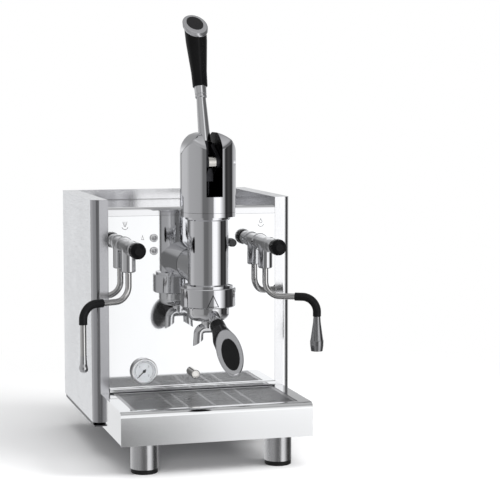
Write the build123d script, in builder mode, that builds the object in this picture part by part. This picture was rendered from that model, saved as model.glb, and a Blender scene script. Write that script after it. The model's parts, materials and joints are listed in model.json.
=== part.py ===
from build123d import *
from math import cos, radians, sin, sqrt, tan
import os

# Spring-lever espresso machine.
# Millimetres. X to the right, Y to the back, Z up. The origin lies on the worktop,
# at the centre of the whole machine's footprint, wands and portafilter handle included.

# --- Casing -------------------------------------------------------------------
sheet = 1.5                 # thickness of the steel sheets
gap = 0.3                   # assembly gap between neighbouring pieces
body_width = 330.0
body_depth = 275.0          # front panel to back panel
panel_y = -13.0             # front face of the front panel
body_bottom = 56.6
body_top = 415.4
column_width = 26.0         # polished front column of each side panel, and the rail above it
column_radius = 12.0
column_return = 14.0        # how far the column's inner edge folds back
panel_bottom = 104.8
panel_top = 388.7
splash_height = 7.2         # folded lip at the foot of the front panel
splash_depth = 5.0
flange = 10.0               # folded edges of the front and back panels
back_rail = 6.0             # depth of the rail along the back of the cup deck

# --- Cup deck -------------------------------------------------------------------
deck_floor = 396.0
deck_lip_bottom = 389.0
deck_lip_top = 402.0
deck_lip_depth = 14.0
deck_lip_radius = 5.0
deck_ledge = 10.0           # ledge on each side panel that carries the deck

# --- Base and drip tray -----------------------------------------------------------
base_bottom = 50.0
base_plate = 2.0
base_flange = 40.0
tray_width = 305.6
tray_depth = 160.0
tray_top = 103.4
tray_edge_radius = 9.0
tray_skirt = 10.0
tongue_inset = 4.8          # how far the base stays inside the tray, each side
grate_width = 266.0
grate_depth = 140.0
grate_rear_gap = 5.6        # grate's rear edge to the panel
grate_height = 2.8
grate_ledge = 6.0
grate_recess = 0.5          # grate's top below the tray's top
slot_pitch = 4.0
slot_width = 2.2
slot_columns = (3, 4)      # slots in a row, in turn, so that the bridges are staggered
slot_bridge = 4.0
grate_margin = 6.0

# --- Feet -----------------------------------------------------------------------
foot_radius = 21.5
foot_wall = 2.0
foot_x = 108.0
rear_foot_x = 85.0
front_foot_y = panel_y - 118.5
rear_foot_y = panel_y + body_depth - 30.0
pad_height = 7.0
pad_plug = 13.0

# --- Group ------------------------------------------------------------------------
group_reach = 98.0          # front panel to the group's vertical axis
group_y = panel_y - group_reach
tube_radius = 32.0
liner_wall = 2.8
piston_bore = 25.5          # radius of the liner's bore
bell_radius = 43.0
bell_bottom = 253.0
bell_top = 283.0
bell_rim_radius = 38.5
bell_rim_height = 4.0
neck_root_radius = 27.0
neck_tip_radius = 33.0
neck_z = 309.0
neck_flange_radius = 38.0
neck_flange = 7.0
neck_passage = 6.0
tube_top = 394.0
tube_collar_radius = 35.5
tube_collar = 4.0
gasket_seat = 275.5
gasket_radius = 31.0
bayonet_lip_radius = 31.5
bayonet_groove_radius = 39.0
bayonet_lip = 5.0
bayonet_groove = 10.0
ear_radius = 37.5
ear_height = 4.5
ear_angle = 36.0
release_angle = 45.0        # the portafilter leaves the bell when turned by this much

# --- Lever housing ------------------------------------------------------------------
housing_radius = 43.5
housing_top = 526.0
housing_band = 7.0
housing_band_step = 0.8
side_arch_radius = 44.5     # arch of the dome seen from the front
front_arch_radius = 62.0    # arch of the dome seen from the side
front_arch_offset = 8.0
housing_round = 8.0         # where the arches meet the round wall
slot_half = 13.0
slot_floor = 426.0
slot_back = 31.0            # inner back wall, behind the group's axis
slot_back_top = 503.0
pivot_forward = 22.0        # pivot pin in front of the group's axis
pivot_z = 478.0
pivot_radius = 5.0
pivot_running = 0.06
pin_blind = 31.0            # the pin's hole is blind at its left end
bush_radius = 9.0
bush_half = 5.9

# --- Lever --------------------------------------------------------------------------
lever_lean = 18.0           # degrees from upright, towards the back
lever_back = 8.5            # lever's centre line behind the group's axis, at pivot height
lever_throw = 90.0          # degrees
crank = 26.0                # pivot to roller
crank_rest = -lever_throw / 2
roller_radius = 6.0
roller_half = 5.3
roller_pin_radius = 3.0
fork_inner = 6.2
fork_outer = 12.0
fork_hub_radius = 11.0
fork_toe_radius = 8.0
fork_head_radius = 12.0
fork_head_at = 18.0
socket_end = 31.0
socket_radius = 6.0
rod_foot_radius = 9.6
rod_neck_radius = 7.5
ferrule_start = 104.0
ferrule_length = 18.0
ferrule_radius = 9.2
tang_radius = 5.0

# --- Handles: the same grip on the lever and on the portafilter --------------------------
lever_grip = 96.0           # ferrule to the middle of the seam under the cap
filter_grip = 74.0
grip_foot_radius = 11.8
grip_end_radius = 17.6
cap_radius = 19.8
cap_height = 10.0           # from the seam to the oblique face, along the axis
cap_edge = 2.0
badge_radius = 13.3
badge_recess = 1.4
badge_thickness = 1.0
tang_length = 56.0
lever_cut = 50.0            # degrees between the handle's axis and its oblique face's normal
filter_cut = 61.0

# --- Portafilter ------------------------------------------------------------------------
filter_radius = 33.2
filter_bottom = 231.0
filter_bottom_fillet = 12.0
filter_rim_z = 264.6
filter_bore = 28.8
filter_floor = 5.0
basket_wall = 0.8
basket_depth = 25.0
handle_slope = 23.3         # degrees below level
handle_meets_z = 254.0      # where the handle's line meets the group's axis
handle_roll = 5.0           # about the handle's own axis
handle_boss_radius = 9.5
filter_grip_start = 60.0
spout_stem_radius = 8.5
spout_radius = 7.8
spout_bore = 4.8
spout_half = 17.0
spout_shoulder = 15.0
spout_bend = 9.5
spout_z = 218.5
spout_tip_z = 190.0         # outer, lower end of the oblique tip
spout_tip_rise = 11.5

# --- Valves and wands ----------------------------------------------------------------------
valve_x = 113.0
valve_z = 342.5
rosette_radius = 14.0
rosette = 3.0
valve_radius = 11.0
valve_collar_radius = 12.6
valve_shank_radius = 9.0
valve_shank = 20.0
spout_block_reach = 32.0
spout_block_radius = 11.6
spout_block_bottom = 302.5
spindle_radius = 4.0
spindle_running = 0.06
knob_radius = 12.9
knob_start = 84.0
knob_end = 112.0
wand_radius = 5.0
wand_running = 0.06
wand_socket = 15.0
wand_z = 257.0
wand_reach = 85.0
wand_bend = 24.0
sleeve_start = 49.0
sleeve_radius = wand_radius + 1.6
steam_swing = 22.0          # degrees forward of the front panel's line, at rest
water_swing = 28.0
steam_wand_end = 166.0
steam_tip_radius = wand_radius + 2.2
steam_tip_bottom = 150.5
water_wand_end = 214.0
water_tip_radius = 11.0
water_tip_bottom = 169.5

# --- Front panel fittings --------------------------------------------------------------------
gauge_x = -82.5
gauge_z = 137.5
gauge_radius = 21.5
gauge_rim = 3.0
gauge_front = 9.0
gauge_back = 25.0
gauge_barrel = 19.0
needle_zero = 225.0         # degrees from the horizontal, at no pressure
lamp_x = 64.5
lamp_spread = 20.8
lamp_radius = 6.5
lamp_front = 4.0
lamp_shank = 4.5
switch_radius = 7.0
switch_front = 12.0
switch_shank = 4.0
drain_z = 131.0
drain_radius = 7.2
drain_front = 18.0
drain_shank = 5.0
hole_gap = 0.3              # panel hole around a fitting, on the radius

# --- Inside ----------------------------------------------------------------------------------
boiler_radius = 58.0
boiler_half = 95.0
boiler_room = 52.0          # front panel to the boiler
boiler_y = panel_y + boiler_room + boiler_radius
boiler_z = 250.0
boiler_flange_radius = boiler_radius + 8.0
boiler_flange = 8.0
boiler_wall = 2.0
port_height = 3.0           # threaded bosses where the pipes join the boiler
port_radius = 6.0
port_bore = 2.0
bracket_x = 60.0
bracket = 3.0
bracket_half = 32.0
tank_half = 70.0
tank_front_y = boiler_y + boiler_radius + 17.0
tank_back_y = panel_y + body_depth - 13.0
tank_top = 372.0
tank_wall = 2.5
pump_x = 118.0
pump_y = panel_y + body_depth - 55.0
pipe_radius = 3.0
pipe_bend = 6.0
inlet_x = 100.0
inlet_z = 92.0
screw_head_radius = 3.6
screw_shank_radius = 1.9

side_x = body_width / 2
column_x = side_x - column_width
back_y = panel_y + body_depth
body_inner_x = side_x - sheet - gap
panel_half = column_x - gap
tray_front_y = panel_y - tray_depth
tray_back_y = panel_y - 2 * gap
tray_bottom = base_bottom + base_plate + gap
grate_back_y = panel_y - grate_rear_gap
grate_y = grate_back_y - grate_depth / 2
grate_top = tray_top - grate_recess
pivot_y = group_y - pivot_forward
liner_radius = piston_bore + liner_wall
roller_y = pivot_y + crank * cos(radians(crank_rest))
roller_z = pivot_z + crank * sin(radians(crank_rest))


def block(x_span, y_span, z_span, mode=Mode.ADD):
    """A box given by its two ends along each axis."""
    middle = [(low + high) / 2 for low, high in (x_span, y_span, z_span)]
    size = [high - low for low, high in (x_span, y_span, z_span)]
    with Locations(tuple(middle)):
        Box(*size, mode=mode)


def bar(radius, start, end, mode=Mode.ADD):
    """A round bar between two points."""
    run = Vector(*end) - Vector(*start)
    with BuildSketch(Plane(origin=start, z_dir=run)) as section:
        Circle(radius)
    extrude(section.sketch, amount=run.length, mode=mode)


def turn(frame, outline, mode=Mode.ADD):
    """Revolve an outline of (radius, height) points about the Z axis of a frame."""
    with BuildSketch(Plane(origin=frame.origin, x_dir=frame.x_dir, z_dir=-frame.y_dir)) as profile:
        with BuildLine():
            Polyline(*outline, close=True)
        make_face()
    revolve(profile.sketch, axis=Axis(frame.origin, frame.z_dir), mode=mode)


def tube_along(path, radius, mode=Mode.ADD):
    """Sweep a circle along a path."""
    with BuildSketch(Plane(origin=path @ 0, z_dir=path % 0)) as section:
        Circle(radius)
    sweep(section.sketch, path=path, mode=mode)


def keep(piece, name):
    """Label a finished piece and write it to its own file."""
    piece.part.label = name
    export_step(piece.part, f"parts/{name}.step")


def forward_frame(x, z):
    """A frame on the front panel whose Z axis points out of the panel, to the front."""
    return Plane(origin=(x, panel_y, z), x_dir=(1, 0, 0), z_dir=(0, -1, 0))


group_frame = Plane(origin=(0, group_y, 0), x_dir=(1, 0, 0), z_dir=(0, 0, 1))
across_frame = Plane(origin=(0, pivot_y, pivot_z), x_dir=(0, 1, 0), z_dir=(1, 0, 0))
lean = radians(lever_lean)
lever_frame = Plane(
    origin=(0, group_y + lever_back, pivot_z), x_dir=(1, 0, 0), z_dir=(0, sin(lean), cos(lean))
)
slope = radians(handle_slope)
roll = radians(handle_roll)
filter_frame = Plane(
    origin=(0, group_y, handle_meets_z),
    x_dir=(-cos(roll), sin(slope) * sin(roll), -cos(slope) * sin(roll)),
    z_dir=(0, -cos(slope), -sin(slope)),
)

os.makedirs("parts", exist_ok=True)

# === Casing =================================================================================


def side_panel(side, name):
    """A side sheet with its polished front column and the rail along its top."""
    with BuildPart() as panel:
        for inset, trim in ((0.0, Mode.ADD), (sheet, Mode.SUBTRACT)):
            with BuildSketch(Plane.XY.offset(body_bottom)) as section:
                with Locations(((column_x + side_x) / 2, panel_y + inset + body_depth / 2)):
                    Rectangle(column_width - 2 * inset, body_depth)
                corner = section.vertices().group_by(Axis.Y)[0].sort_by(Axis.X)[-1]
                fillet(corner, radius=column_radius - inset)
            extrude(amount=body_top - body_bottom - inset, mode=trim)
        block((column_x - 1.0, column_x + sheet), (panel_y + column_return, back_y + 1.0),
              (body_bottom, panel_top + gap), Mode.SUBTRACT)
        block((column_x - 1.0, column_x + sheet), (back_y - sheet - gap, back_y + 1.0),
              (panel_top, body_top - sheet), Mode.SUBTRACT)
        ledge_top = deck_floor - gap
        block((column_x - deck_ledge, column_x + sheet),
              (panel_y + 2 * deck_lip_depth, back_y - 2 * deck_lip_depth),
              (ledge_top - sheet, ledge_top))
        if side < 0:
            mirror(about=Plane.YZ, mode=Mode.REPLACE)
    keep(panel, name)


side_panel(-1, "left_side_panel")
side_panel(1, "right_side_panel")

screw_spots = [(x, z) for x in (-145.0, 0.0, 145.0) for z in (body_bottom + 18.0, body_top - 30.0)]

with BuildPart() as back_panel:
    rail_half = column_x - gap
    block((-body_inner_x, body_inner_x), (back_y - sheet, back_y), (body_bottom, body_top - sheet - gap))
    block((-rail_half, rail_half), (back_y - back_rail, back_y), (body_top - sheet, body_top))
    block((-rail_half, rail_half), (back_y - sheet, back_y), (body_top - 3 * sheet, body_top))
    rail_front = back_y - back_rail
    block((-rail_half, rail_half), (rail_front, rail_front + sheet), (deck_floor + 2 * sheet, body_top))
    for edge in (-1, 1):
        fold = sorted((edge * body_inner_x, edge * (body_inner_x - sheet)))
        block(fold, (back_y - flange, back_y), (body_bottom + base_flange, panel_top))
    vent_plane = Plane(origin=(0, back_y, 0), x_dir=(-1, 0, 0), z_dir=(0, 1, 0))
    with BuildSketch(vent_plane):
        with Locations((-58.0, 300.0), (58.0, 300.0)):
            with GridLocations(0, 12.0, 1, 9):
                SlotOverall(80.0, 4.0)
    extrude(amount=-2 * sheet, mode=Mode.SUBTRACT)
    with BuildSketch(vent_plane):
        with Locations(*[(-x, z) for x, z in screw_spots]):
            Circle(screw_shank_radius + gap)
        with Locations((-inlet_x, inlet_z)):
            Rectangle(28.0 + 2 * gap, 20.0 + 2 * gap)
    extrude(amount=-2 * sheet, mode=Mode.SUBTRACT)
keep(back_panel, "back_panel")

with BuildPart() as panel_screws:
    for x, z in screw_spots:
        rear_frame = Plane(origin=(x, back_y, z), x_dir=(1, 0, 0), z_dir=(0, 1, 0))
        turn(rear_frame, [(0, 1.9), (1.8, 1.7), (3.0, 1.1), (screw_head_radius, 0),
                          (screw_shank_radius, 0),
                          (screw_shank_radius, -5.0), (0, -5.0)])
keep(panel_screws, "panel_screws")

with BuildPart() as front_panel:
    block((-panel_half, panel_half), (panel_y, panel_y + sheet), (panel_bottom, panel_top))
    block((-panel_half, panel_half), (panel_y - splash_depth, panel_y),
          (panel_bottom, panel_bottom + splash_height))
    nose = front_panel.edges().filter_by(Axis.X).group_by(Axis.Y)[0]
    fillet(nose, radius=2.0)
    for edge in (-1, 1):
        fold = sorted((edge * panel_half, edge * (panel_half - sheet)))
        block(fold, (panel_y, panel_y + flange), (panel_bottom + base_flange, panel_top))
    block((-panel_half, panel_half), (panel_y, panel_y + flange), (panel_top - sheet, panel_top))
    openings = [(0, neck_z, neck_root_radius), (gauge_x, gauge_z, gauge_barrel),
                (0, drain_z, drain_shank),
                (lamp_x, valve_z, switch_shank)]
    openings += [(side * valve_x, valve_z, valve_shank_radius) for side in (-1, 1)]
    openings += [(-lamp_x, valve_z + step * lamp_spread / 2, lamp_shank) for step in (-1, 1)]
    for x, z, radius in openings:
        with BuildSketch(forward_frame(x, z)):
            Circle(radius + hole_gap)
        extrude(amount=-2 * sheet, mode=Mode.SUBTRACT)
keep(front_panel, "front_panel")

with BuildPart() as cup_tray:
    deck_half = column_x - gap
    deck_back = back_y - back_rail - gap
    with BuildSketch(Plane.YZ.offset(-deck_half)):
        with BuildLine():
            lip_inner_y = panel_y + deck_lip_depth
            lip_inner = deck_lip_radius - sheet
            arc_y = panel_y + deck_lip_radius
            arc_z = deck_lip_top - deck_lip_radius
            Line((panel_y, deck_lip_bottom), (panel_y, arc_z))
            RadiusArc((panel_y, arc_z), (arc_y, deck_lip_top), deck_lip_radius)
            Polyline((arc_y, deck_lip_top), (lip_inner_y, deck_lip_top),
                     (lip_inner_y, deck_floor + sheet),
                     (deck_back, deck_floor + sheet), (deck_back, deck_floor),
                     (lip_inner_y - sheet, deck_floor), (lip_inner_y - sheet, deck_lip_top - sheet),
                     (arc_y, deck_lip_top - sheet))
            RadiusArc((arc_y, deck_lip_top - sheet), (panel_y + sheet, arc_z), -lip_inner)
            Polyline((panel_y + sheet, arc_z), (panel_y + sheet, deck_lip_bottom),
                     (panel_y, deck_lip_bottom))
        make_face()
    extrude(amount=2 * deck_half)
keep(cup_tray, "cup_tray")

# === Base, tray and feet ========================================================================

with BuildPart() as base_frame:
    base_top = base_bottom + base_plate
    tongue_half = tray_width / 2 - tongue_inset
    body_front = panel_y + 2 * sheet
    body_rear = back_y - sheet - gap
    block((-tongue_half, tongue_half), (tray_front_y + tongue_inset, body_front), (base_bottom, base_top))
    block((-body_inner_x, body_inner_x), (body_front, body_rear), (base_bottom, base_top))
    for edge in (-1, 1):
        wall = sorted((edge * body_inner_x, edge * (body_inner_x - base_plate)))
        block(wall, (panel_y + column_return + gap, body_rear), (base_bottom, base_bottom + base_flange))
        plate_x = edge * bracket_x
        with BuildSketch(Plane.YZ.offset(plate_x - bracket / 2)):
            with BuildLine():
                Polyline((boiler_y - bracket_half - 12, base_top),
                         (boiler_y + bracket_half + 12, base_top),
                         (boiler_y + bracket_half, boiler_z), (boiler_y - bracket_half, boiler_z),
                         close=True)
            make_face()
            with Locations((boiler_y, boiler_z)):
                Circle(boiler_radius + gap, mode=Mode.SUBTRACT)
        extrude(amount=bracket)
        block((plate_x - 12, plate_x + 12), (boiler_y - 44, boiler_y + 44),
              (base_top, base_top + base_plate))
    block((-panel_half, panel_half), (body_front, body_front + base_plate),
          (base_bottom, panel_bottom + 30.0))
    with BuildSketch(Plane(origin=(0, body_front, 0), x_dir=(1, 0, 0), z_dir=(0, -1, 0))):
        with Locations((gauge_x, gauge_z)):
            Circle(gauge_barrel + 2.0)
        with Locations((0, drain_z)):
            Circle(drain_shank + 2.0)
    extrude(amount=-2 * base_plate, mode=Mode.SUBTRACT)
    block((-body_inner_x, body_inner_x), (body_rear - base_plate, body_rear), (base_bottom, body_bottom))
keep(base_frame, "base_frame")

with BuildPart() as drip_tray:
    half = tray_width / 2
    for inset, trim in ((0.0, Mode.ADD), (sheet, Mode.SUBTRACT)):
        with BuildSketch(Plane.YZ.offset(inset - half)) as profile:
            low = tray_bottom + inset
            high = tray_top - inset
            front = tray_front_y + inset
            back = tray_back_y - inset
            with Locations(((front + back) / 2, (low + high) / 2)):
                Rectangle(back - front, high - low)
            front_edge = profile.vertices().group_by(Axis.X)[0].sort_by(Axis.Y)[-1]
            fillet(front_edge, radius=tray_edge_radius - inset)
        extrude(amount=2 * (half - inset), mode=trim)
    recess_x = grate_width / 2 + gap
    recess_front = grate_back_y - grate_depth - gap
    recess_back = grate_back_y + gap
    ledge_z = grate_top - grate_height - gap
    block((-recess_x - sheet, recess_x + sheet), (recess_front - sheet, recess_back + sheet),
          (ledge_z - sheet, tray_top))
    block((-recess_x, recess_x), (recess_front, recess_back), (ledge_z, tray_top), Mode.SUBTRACT)
    block((grate_ledge - recess_x, recess_x - grate_ledge),
          (recess_front + grate_ledge, recess_back - grate_ledge),
          (ledge_z - sheet, tray_top), Mode.SUBTRACT)
    block((-half, half), (tray_front_y, tray_front_y + sheet),
          (base_bottom + gap, tray_bottom + tray_skirt))
keep(drip_tray, "drip_tray")

with BuildPart() as drip_grate:
    block((-grate_width / 2, grate_width / 2), (grate_back_y - grate_depth, grate_back_y),
          (grate_top - grate_height, grate_top))
    block((sheet - grate_width / 2, grate_width / 2 - sheet),
          (grate_back_y - grate_depth + sheet, grate_back_y - sheet),
          (grate_top - grate_height, grate_top - sheet), Mode.SUBTRACT)
    rows = int((grate_depth - 2 * grate_margin) / (2 * slot_pitch))
    for columns, side in zip(slot_columns, (-1, 1)):
        slot_length = (grate_width - 2 * grate_margin - (columns - 1) * slot_bridge) / columns
        with BuildSketch(Plane.XY.offset(grate_top)):
            with Locations((0, grate_y + side * slot_pitch / 2)):
                with GridLocations(slot_length + slot_bridge, 2 * slot_pitch, columns, rows):
                    SlotOverall(slot_length, slot_width)
        extrude(amount=-grate_height, mode=Mode.SUBTRACT)
keep(drip_grate, "drip_grate")

feet = {
    "foot_front_left": (-foot_x, front_foot_y),
    "foot_front_right": (foot_x, front_foot_y),
    "foot_rear_left": (-rear_foot_x, rear_foot_y),
    "foot_rear_right": (rear_foot_x, rear_foot_y),
}
for name, (x, y) in feet.items():
    foot_frame = Plane(origin=(x, y, 0), x_dir=(1, 0, 0), z_dir=(0, 0, 1))
    bore = foot_radius - foot_wall
    low = pad_height + gap
    with BuildPart() as foot:
        turn(foot_frame, [(bore, low), (foot_radius, low), (foot_radius, base_bottom), (0, base_bottom),
                          (0, base_bottom - 4 * foot_wall), (bore, base_bottom - 4 * foot_wall)])
    keep(foot, name)

with BuildPart() as foot_pads:
    for x, y in feet.values():
        foot_frame = Plane(origin=(x, y, 0), x_dir=(1, 0, 0), z_dir=(0, 0, 1))
        plug = foot_radius - foot_wall - gap
        turn(foot_frame, [(0, 0), (foot_radius - 1.5, 0), (foot_radius - 0.5, 1.0),
                          (foot_radius - 0.5, pad_height),
                          (plug, pad_height), (plug, pad_height + pad_plug), (0, pad_height + pad_plug)])
keep(foot_pads, "foot_pads")

# === Group ======================================================================================

with BuildPart() as group_body:
    bore = liner_radius + gap
    turn(group_frame, [
        (bayonet_lip_radius, bell_bottom), (bell_radius - 1.5, bell_bottom),
        (bell_radius, bell_bottom + 1.5),
        (bell_radius, bell_top - 1.0), (bell_radius - 1.0, bell_top), (bell_rim_radius, bell_top),
        (bell_rim_radius, bell_top + bell_rim_height), (tube_radius, bell_top + bell_rim_height + 1.5),
        (tube_radius, tube_top - tube_collar - 2.0), (tube_collar_radius, tube_top - tube_collar),
        (tube_collar_radius, tube_top), (0, tube_top), (0, bell_bottom),
    ])
    root = Plane(origin=(0, group_y, neck_z), x_dir=(1, 0, 0), z_dir=(0, 1, 0))
    reach = group_reach
    turn(root, [(0, 0), (neck_tip_radius, 0), (neck_root_radius, reach),
                (neck_root_radius, reach + 3 * sheet),
                (neck_flange_radius, reach + 3 * sheet),
                (neck_flange_radius, reach + 3 * sheet + neck_flange),
                (0, reach + 3 * sheet + neck_flange)])
    turn(group_frame, [(0, tube_top), (bore, tube_top), (bore, gasket_seat + tube_collar),
                       (piston_bore, gasket_seat + tube_collar), (piston_bore, gasket_seat),
                       (gasket_radius, gasket_seat),
                       (gasket_radius, bell_bottom + bayonet_lip + bayonet_groove),
                       (bayonet_groove_radius, bell_bottom + bayonet_lip + bayonet_groove),
                       (bayonet_groove_radius, bell_bottom + bayonet_lip),
                       (bayonet_lip_radius, bell_bottom + bayonet_lip), (bayonet_lip_radius, bell_bottom),
                       (0, bell_bottom)], Mode.SUBTRACT)
    with BuildSketch(Plane.XY.offset(bell_bottom)):
        with Locations((0, group_y)):
            with PolarLocations(0, 2, start_angle=-release_angle):
                with Locations((ear_radius / 2, 0)):
                    Rectangle(ear_radius + 2 * gap,
                              2 * ear_radius * sin(radians(ear_angle / 2)) + 4 * gap)
    extrude(amount=bayonet_lip, mode=Mode.SUBTRACT)
    bar(neck_passage, (0, group_y + piston_bore, neck_z), (0, panel_y + 20.0, neck_z), Mode.SUBTRACT)
keep(group_body, "group_body")

with BuildPart() as cylinder_liner:
    low = gasket_seat + tube_collar + gap
    high = tube_top - gap
    turn(group_frame, [(piston_bore, low), (liner_radius, low), (liner_radius, high),
                       (piston_bore, high)])
    bar(neck_passage, (0, group_y + piston_bore - 3, neck_z), (0, group_y + tube_radius, neck_z),
        Mode.SUBTRACT)
keep(cylinder_liner, "cylinder_liner")

with BuildPart() as lever_housing:
    arch_z = housing_top - side_arch_radius
    front_arch_z = housing_top - front_arch_radius
    with BuildSketch(Plane.XY.offset(tube_top)):
        with Locations((0, group_y)):
            Circle(housing_radius)
    extrude(amount=housing_top - tube_top)
    with BuildSketch(Plane(origin=(0, group_y + housing_radius, 0), x_dir=(1, 0, 0), z_dir=(0, -1, 0))):
        with Locations((0, arch_z)):
            Circle(side_arch_radius)
        with Locations((0, (tube_top + arch_z) / 2)):
            Rectangle(2 * side_arch_radius, arch_z - tube_top)
    extrude(amount=2 * housing_radius, mode=Mode.INTERSECT)
    with BuildSketch(Plane.YZ.offset(-housing_radius)):
        with Locations((group_y + front_arch_offset, front_arch_z)):
            Circle(front_arch_radius)
        with Locations((group_y + front_arch_offset, (tube_top + front_arch_z) / 2)):
            Rectangle(2 * front_arch_radius, front_arch_z - tube_top)
    extrude(amount=2 * housing_radius, mode=Mode.INTERSECT)
    creases = lever_housing.edges().filter_by(lambda edge: edge.bounding_box().max.Z > arch_z)
    fillet(creases, radius=housing_round)
    turn(group_frame, [(housing_radius - housing_band_step, tube_top + housing_band),
                       (housing_radius + 2.0, tube_top + housing_band - 0.6),
                       (housing_radius + 2.0, tube_top + housing_band + 0.6)], Mode.SUBTRACT)
    block((-slot_half, slot_half), (group_y - 2 * housing_radius, group_y + slot_back),
          (slot_floor, housing_top + 1.0), Mode.SUBTRACT)
    block((-slot_half, slot_half), (group_y, group_y + 2 * housing_radius),
          (slot_back_top, housing_top + 1.0), Mode.SUBTRACT)
    turn(group_frame, [(0, tube_top), (tang_radius + 2 * gap, tube_top),
                       (tang_radius + 2 * gap, slot_floor + 1),
                       (0, slot_floor + 1)], Mode.SUBTRACT)
    bar(pivot_radius + pivot_running, (-pin_blind, pivot_y, pivot_z), (housing_radius, pivot_y, pivot_z),
        Mode.SUBTRACT)
keep(lever_housing, "lever_housing")

with BuildPart() as pivot_pin:
    pin_low = gap - pin_blind
    pin_high = sqrt(housing_radius**2 - (pivot_forward + pivot_radius) ** 2) - gap
    turn(across_frame, [(0, pin_low), (pivot_radius, pin_low), (pivot_radius, pin_high), (0, pin_high)])
    turn(across_frame, [(pivot_radius + pivot_running, -bush_half), (bush_radius, -bush_half),
                        (bush_radius, bush_half), (pivot_radius + pivot_running, bush_half)])
keep(pivot_pin, "pivot_pin")

piston_bottom = gasket_seat + 2.0
piston_top = piston_bottom + 22.0
yoke_half_height = roller_radius + 0.9 + 4.0

with BuildPart() as piston:
    ring = piston_bore - gap
    groove = ring - 1.6
    outline = [(0, piston_bottom), (ring, piston_bottom)]
    for seal_z in (piston_bottom + 4.0, piston_bottom + 13.0):
        outline += [(ring, seal_z), (groove, seal_z), (groove, seal_z + 4.0), (ring, seal_z + 4.0)]
    outline += [(ring, piston_top), (tang_radius + pivot_running, piston_top),
                (tang_radius + pivot_running, piston_bottom + 6.0), (0, piston_bottom + 6.0)]
    turn(group_frame, outline)
keep(piston, "piston")

with BuildPart() as piston_rod:
    yoke_bottom = roller_z - yoke_half_height
    yoke_front = roller_y - roller_radius - gap
    yoke_back = pivot_y + crank + roller_radius + gap
    bar(tang_radius, (0, group_y, piston_bottom + 6.0 + gap), (0, group_y, yoke_bottom + 1.0))
    block((-slot_half + 7.5, slot_half - 7.5), (yoke_front - 1.8, yoke_back + 2.2),
          (yoke_bottom, roller_z + yoke_half_height))
    block((-slot_half, slot_half), (yoke_front, yoke_back),
          (roller_z - roller_radius - 0.9, roller_z + roller_radius + 0.9), Mode.SUBTRACT)
keep(piston_rod, "piston_rod")

with BuildPart() as main_spring:
    wire = 2.4
    coil = piston_bore - wire - 2.0
    spring_low = piston_top + wire + gap
    spring_high = tube_top - wire - gap
    turns = 7
    spring_path = Helix((spring_high - spring_low) / turns, spring_high - spring_low, coil,
                        center=(0, group_y, spring_low))
    with BuildSketch(Plane(origin=spring_path @ 0, z_dir=spring_path % 0)):
        Circle(wire)
    sweep(path=spring_path, is_frenet=True)
keep(main_spring, "main_spring")

with BuildPart() as shower_screen:
    rim = piston_bore - gap
    low = bell_bottom + bayonet_lip + bayonet_groove
    turn(group_frame, [(0, low), (rim - 1.0, low), (rim, low + 1.0), (rim, gasket_seat + 1.5),
                       (rim - 1.0, gasket_seat + 1.5), (rim - 1.0, low + 1.2), (0, low + 1.2)])
    with BuildSketch(Plane.XY.offset(low + 2.0)):
        with Locations((0, group_y)):
            for ring_radius, count in ((6.0, 6), (12.0, 12), (18.0, 18)):
                with PolarLocations(ring_radius, count):
                    Circle(0.8)
    extrude(amount=-3.0, mode=Mode.SUBTRACT)
keep(shower_screen, "shower_screen")

with BuildPart() as group_gasket:
    low = filter_rim_z + basket_wall + gap
    turn(group_frame, [(piston_bore + gap, low), (gasket_radius - gap, low),
                       (gasket_radius - gap, gasket_seat - 0.1), (piston_bore + gap, gasket_seat - 0.1)])
keep(group_gasket, "group_gasket")

# === Lever ======================================================================================


def along(frame, distance):
    """A point on a frame's Z axis."""
    return frame.origin + frame.z_dir * distance


with BuildPart() as lever_fork:
    head = along(lever_frame, fork_head_at)
    with BuildSketch(Plane.YZ.offset(fork_inner)):
        for centre, radius in (((pivot_y, pivot_z), fork_hub_radius),
                               ((roller_y, roller_z), fork_toe_radius),
                               ((head.Y, head.Z), fork_head_radius)):
            with Locations(centre):
                Circle(radius)
        make_hull()
    extrude(amount=fork_outer - fork_inner)
    mirror(about=Plane.YZ)
    turn(lever_frame, [(0, 8.0), (fork_outer, 8.0), (fork_outer, socket_end - 1.5),
                       (fork_outer - 1.5, socket_end), (0, socket_end)])
    turn(lever_frame, [(0, 11.0), (socket_radius, 11.0), (socket_radius, socket_end), (0, socket_end)],
         Mode.SUBTRACT)
    bar(pivot_radius + pivot_running, (-fork_outer, pivot_y, pivot_z), (fork_outer, pivot_y, pivot_z),
        Mode.SUBTRACT)
    bar(roller_pin_radius + pivot_running, (-fork_outer, roller_y, roller_z),
        (fork_outer, roller_y, roller_z),
        Mode.SUBTRACT)
keep(lever_fork, "lever_fork")

with BuildPart() as lever_roller:
    roller_frame = Plane(origin=(0, roller_y, roller_z), x_dir=(0, 1, 0), z_dir=(1, 0, 0))
    pin = fork_outer - gap
    turn(roller_frame, [(0, -pin), (roller_pin_radius, -pin), (roller_pin_radius, -roller_half),
                        (roller_radius, -roller_half), (roller_radius, roller_half),
                        (roller_pin_radius, roller_half), (roller_pin_radius, pin), (0, pin)])
keep(lever_roller, "lever_roller")

grip_start = ferrule_start + ferrule_length

with BuildPart() as lever_rod:
    tang_end = grip_start + tang_length
    turn(lever_frame, [(0, 11.0 + gap), (socket_radius - pivot_running, 11.0 + gap),
                       (socket_radius - pivot_running, socket_end), (rod_foot_radius - 0.8, socket_end),
                       (rod_foot_radius, socket_end + 0.8), (rod_neck_radius, ferrule_start),
                       (tang_radius, ferrule_start), (tang_radius, tang_end), (0, tang_end)])
keep(lever_rod, "lever_rod")

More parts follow.
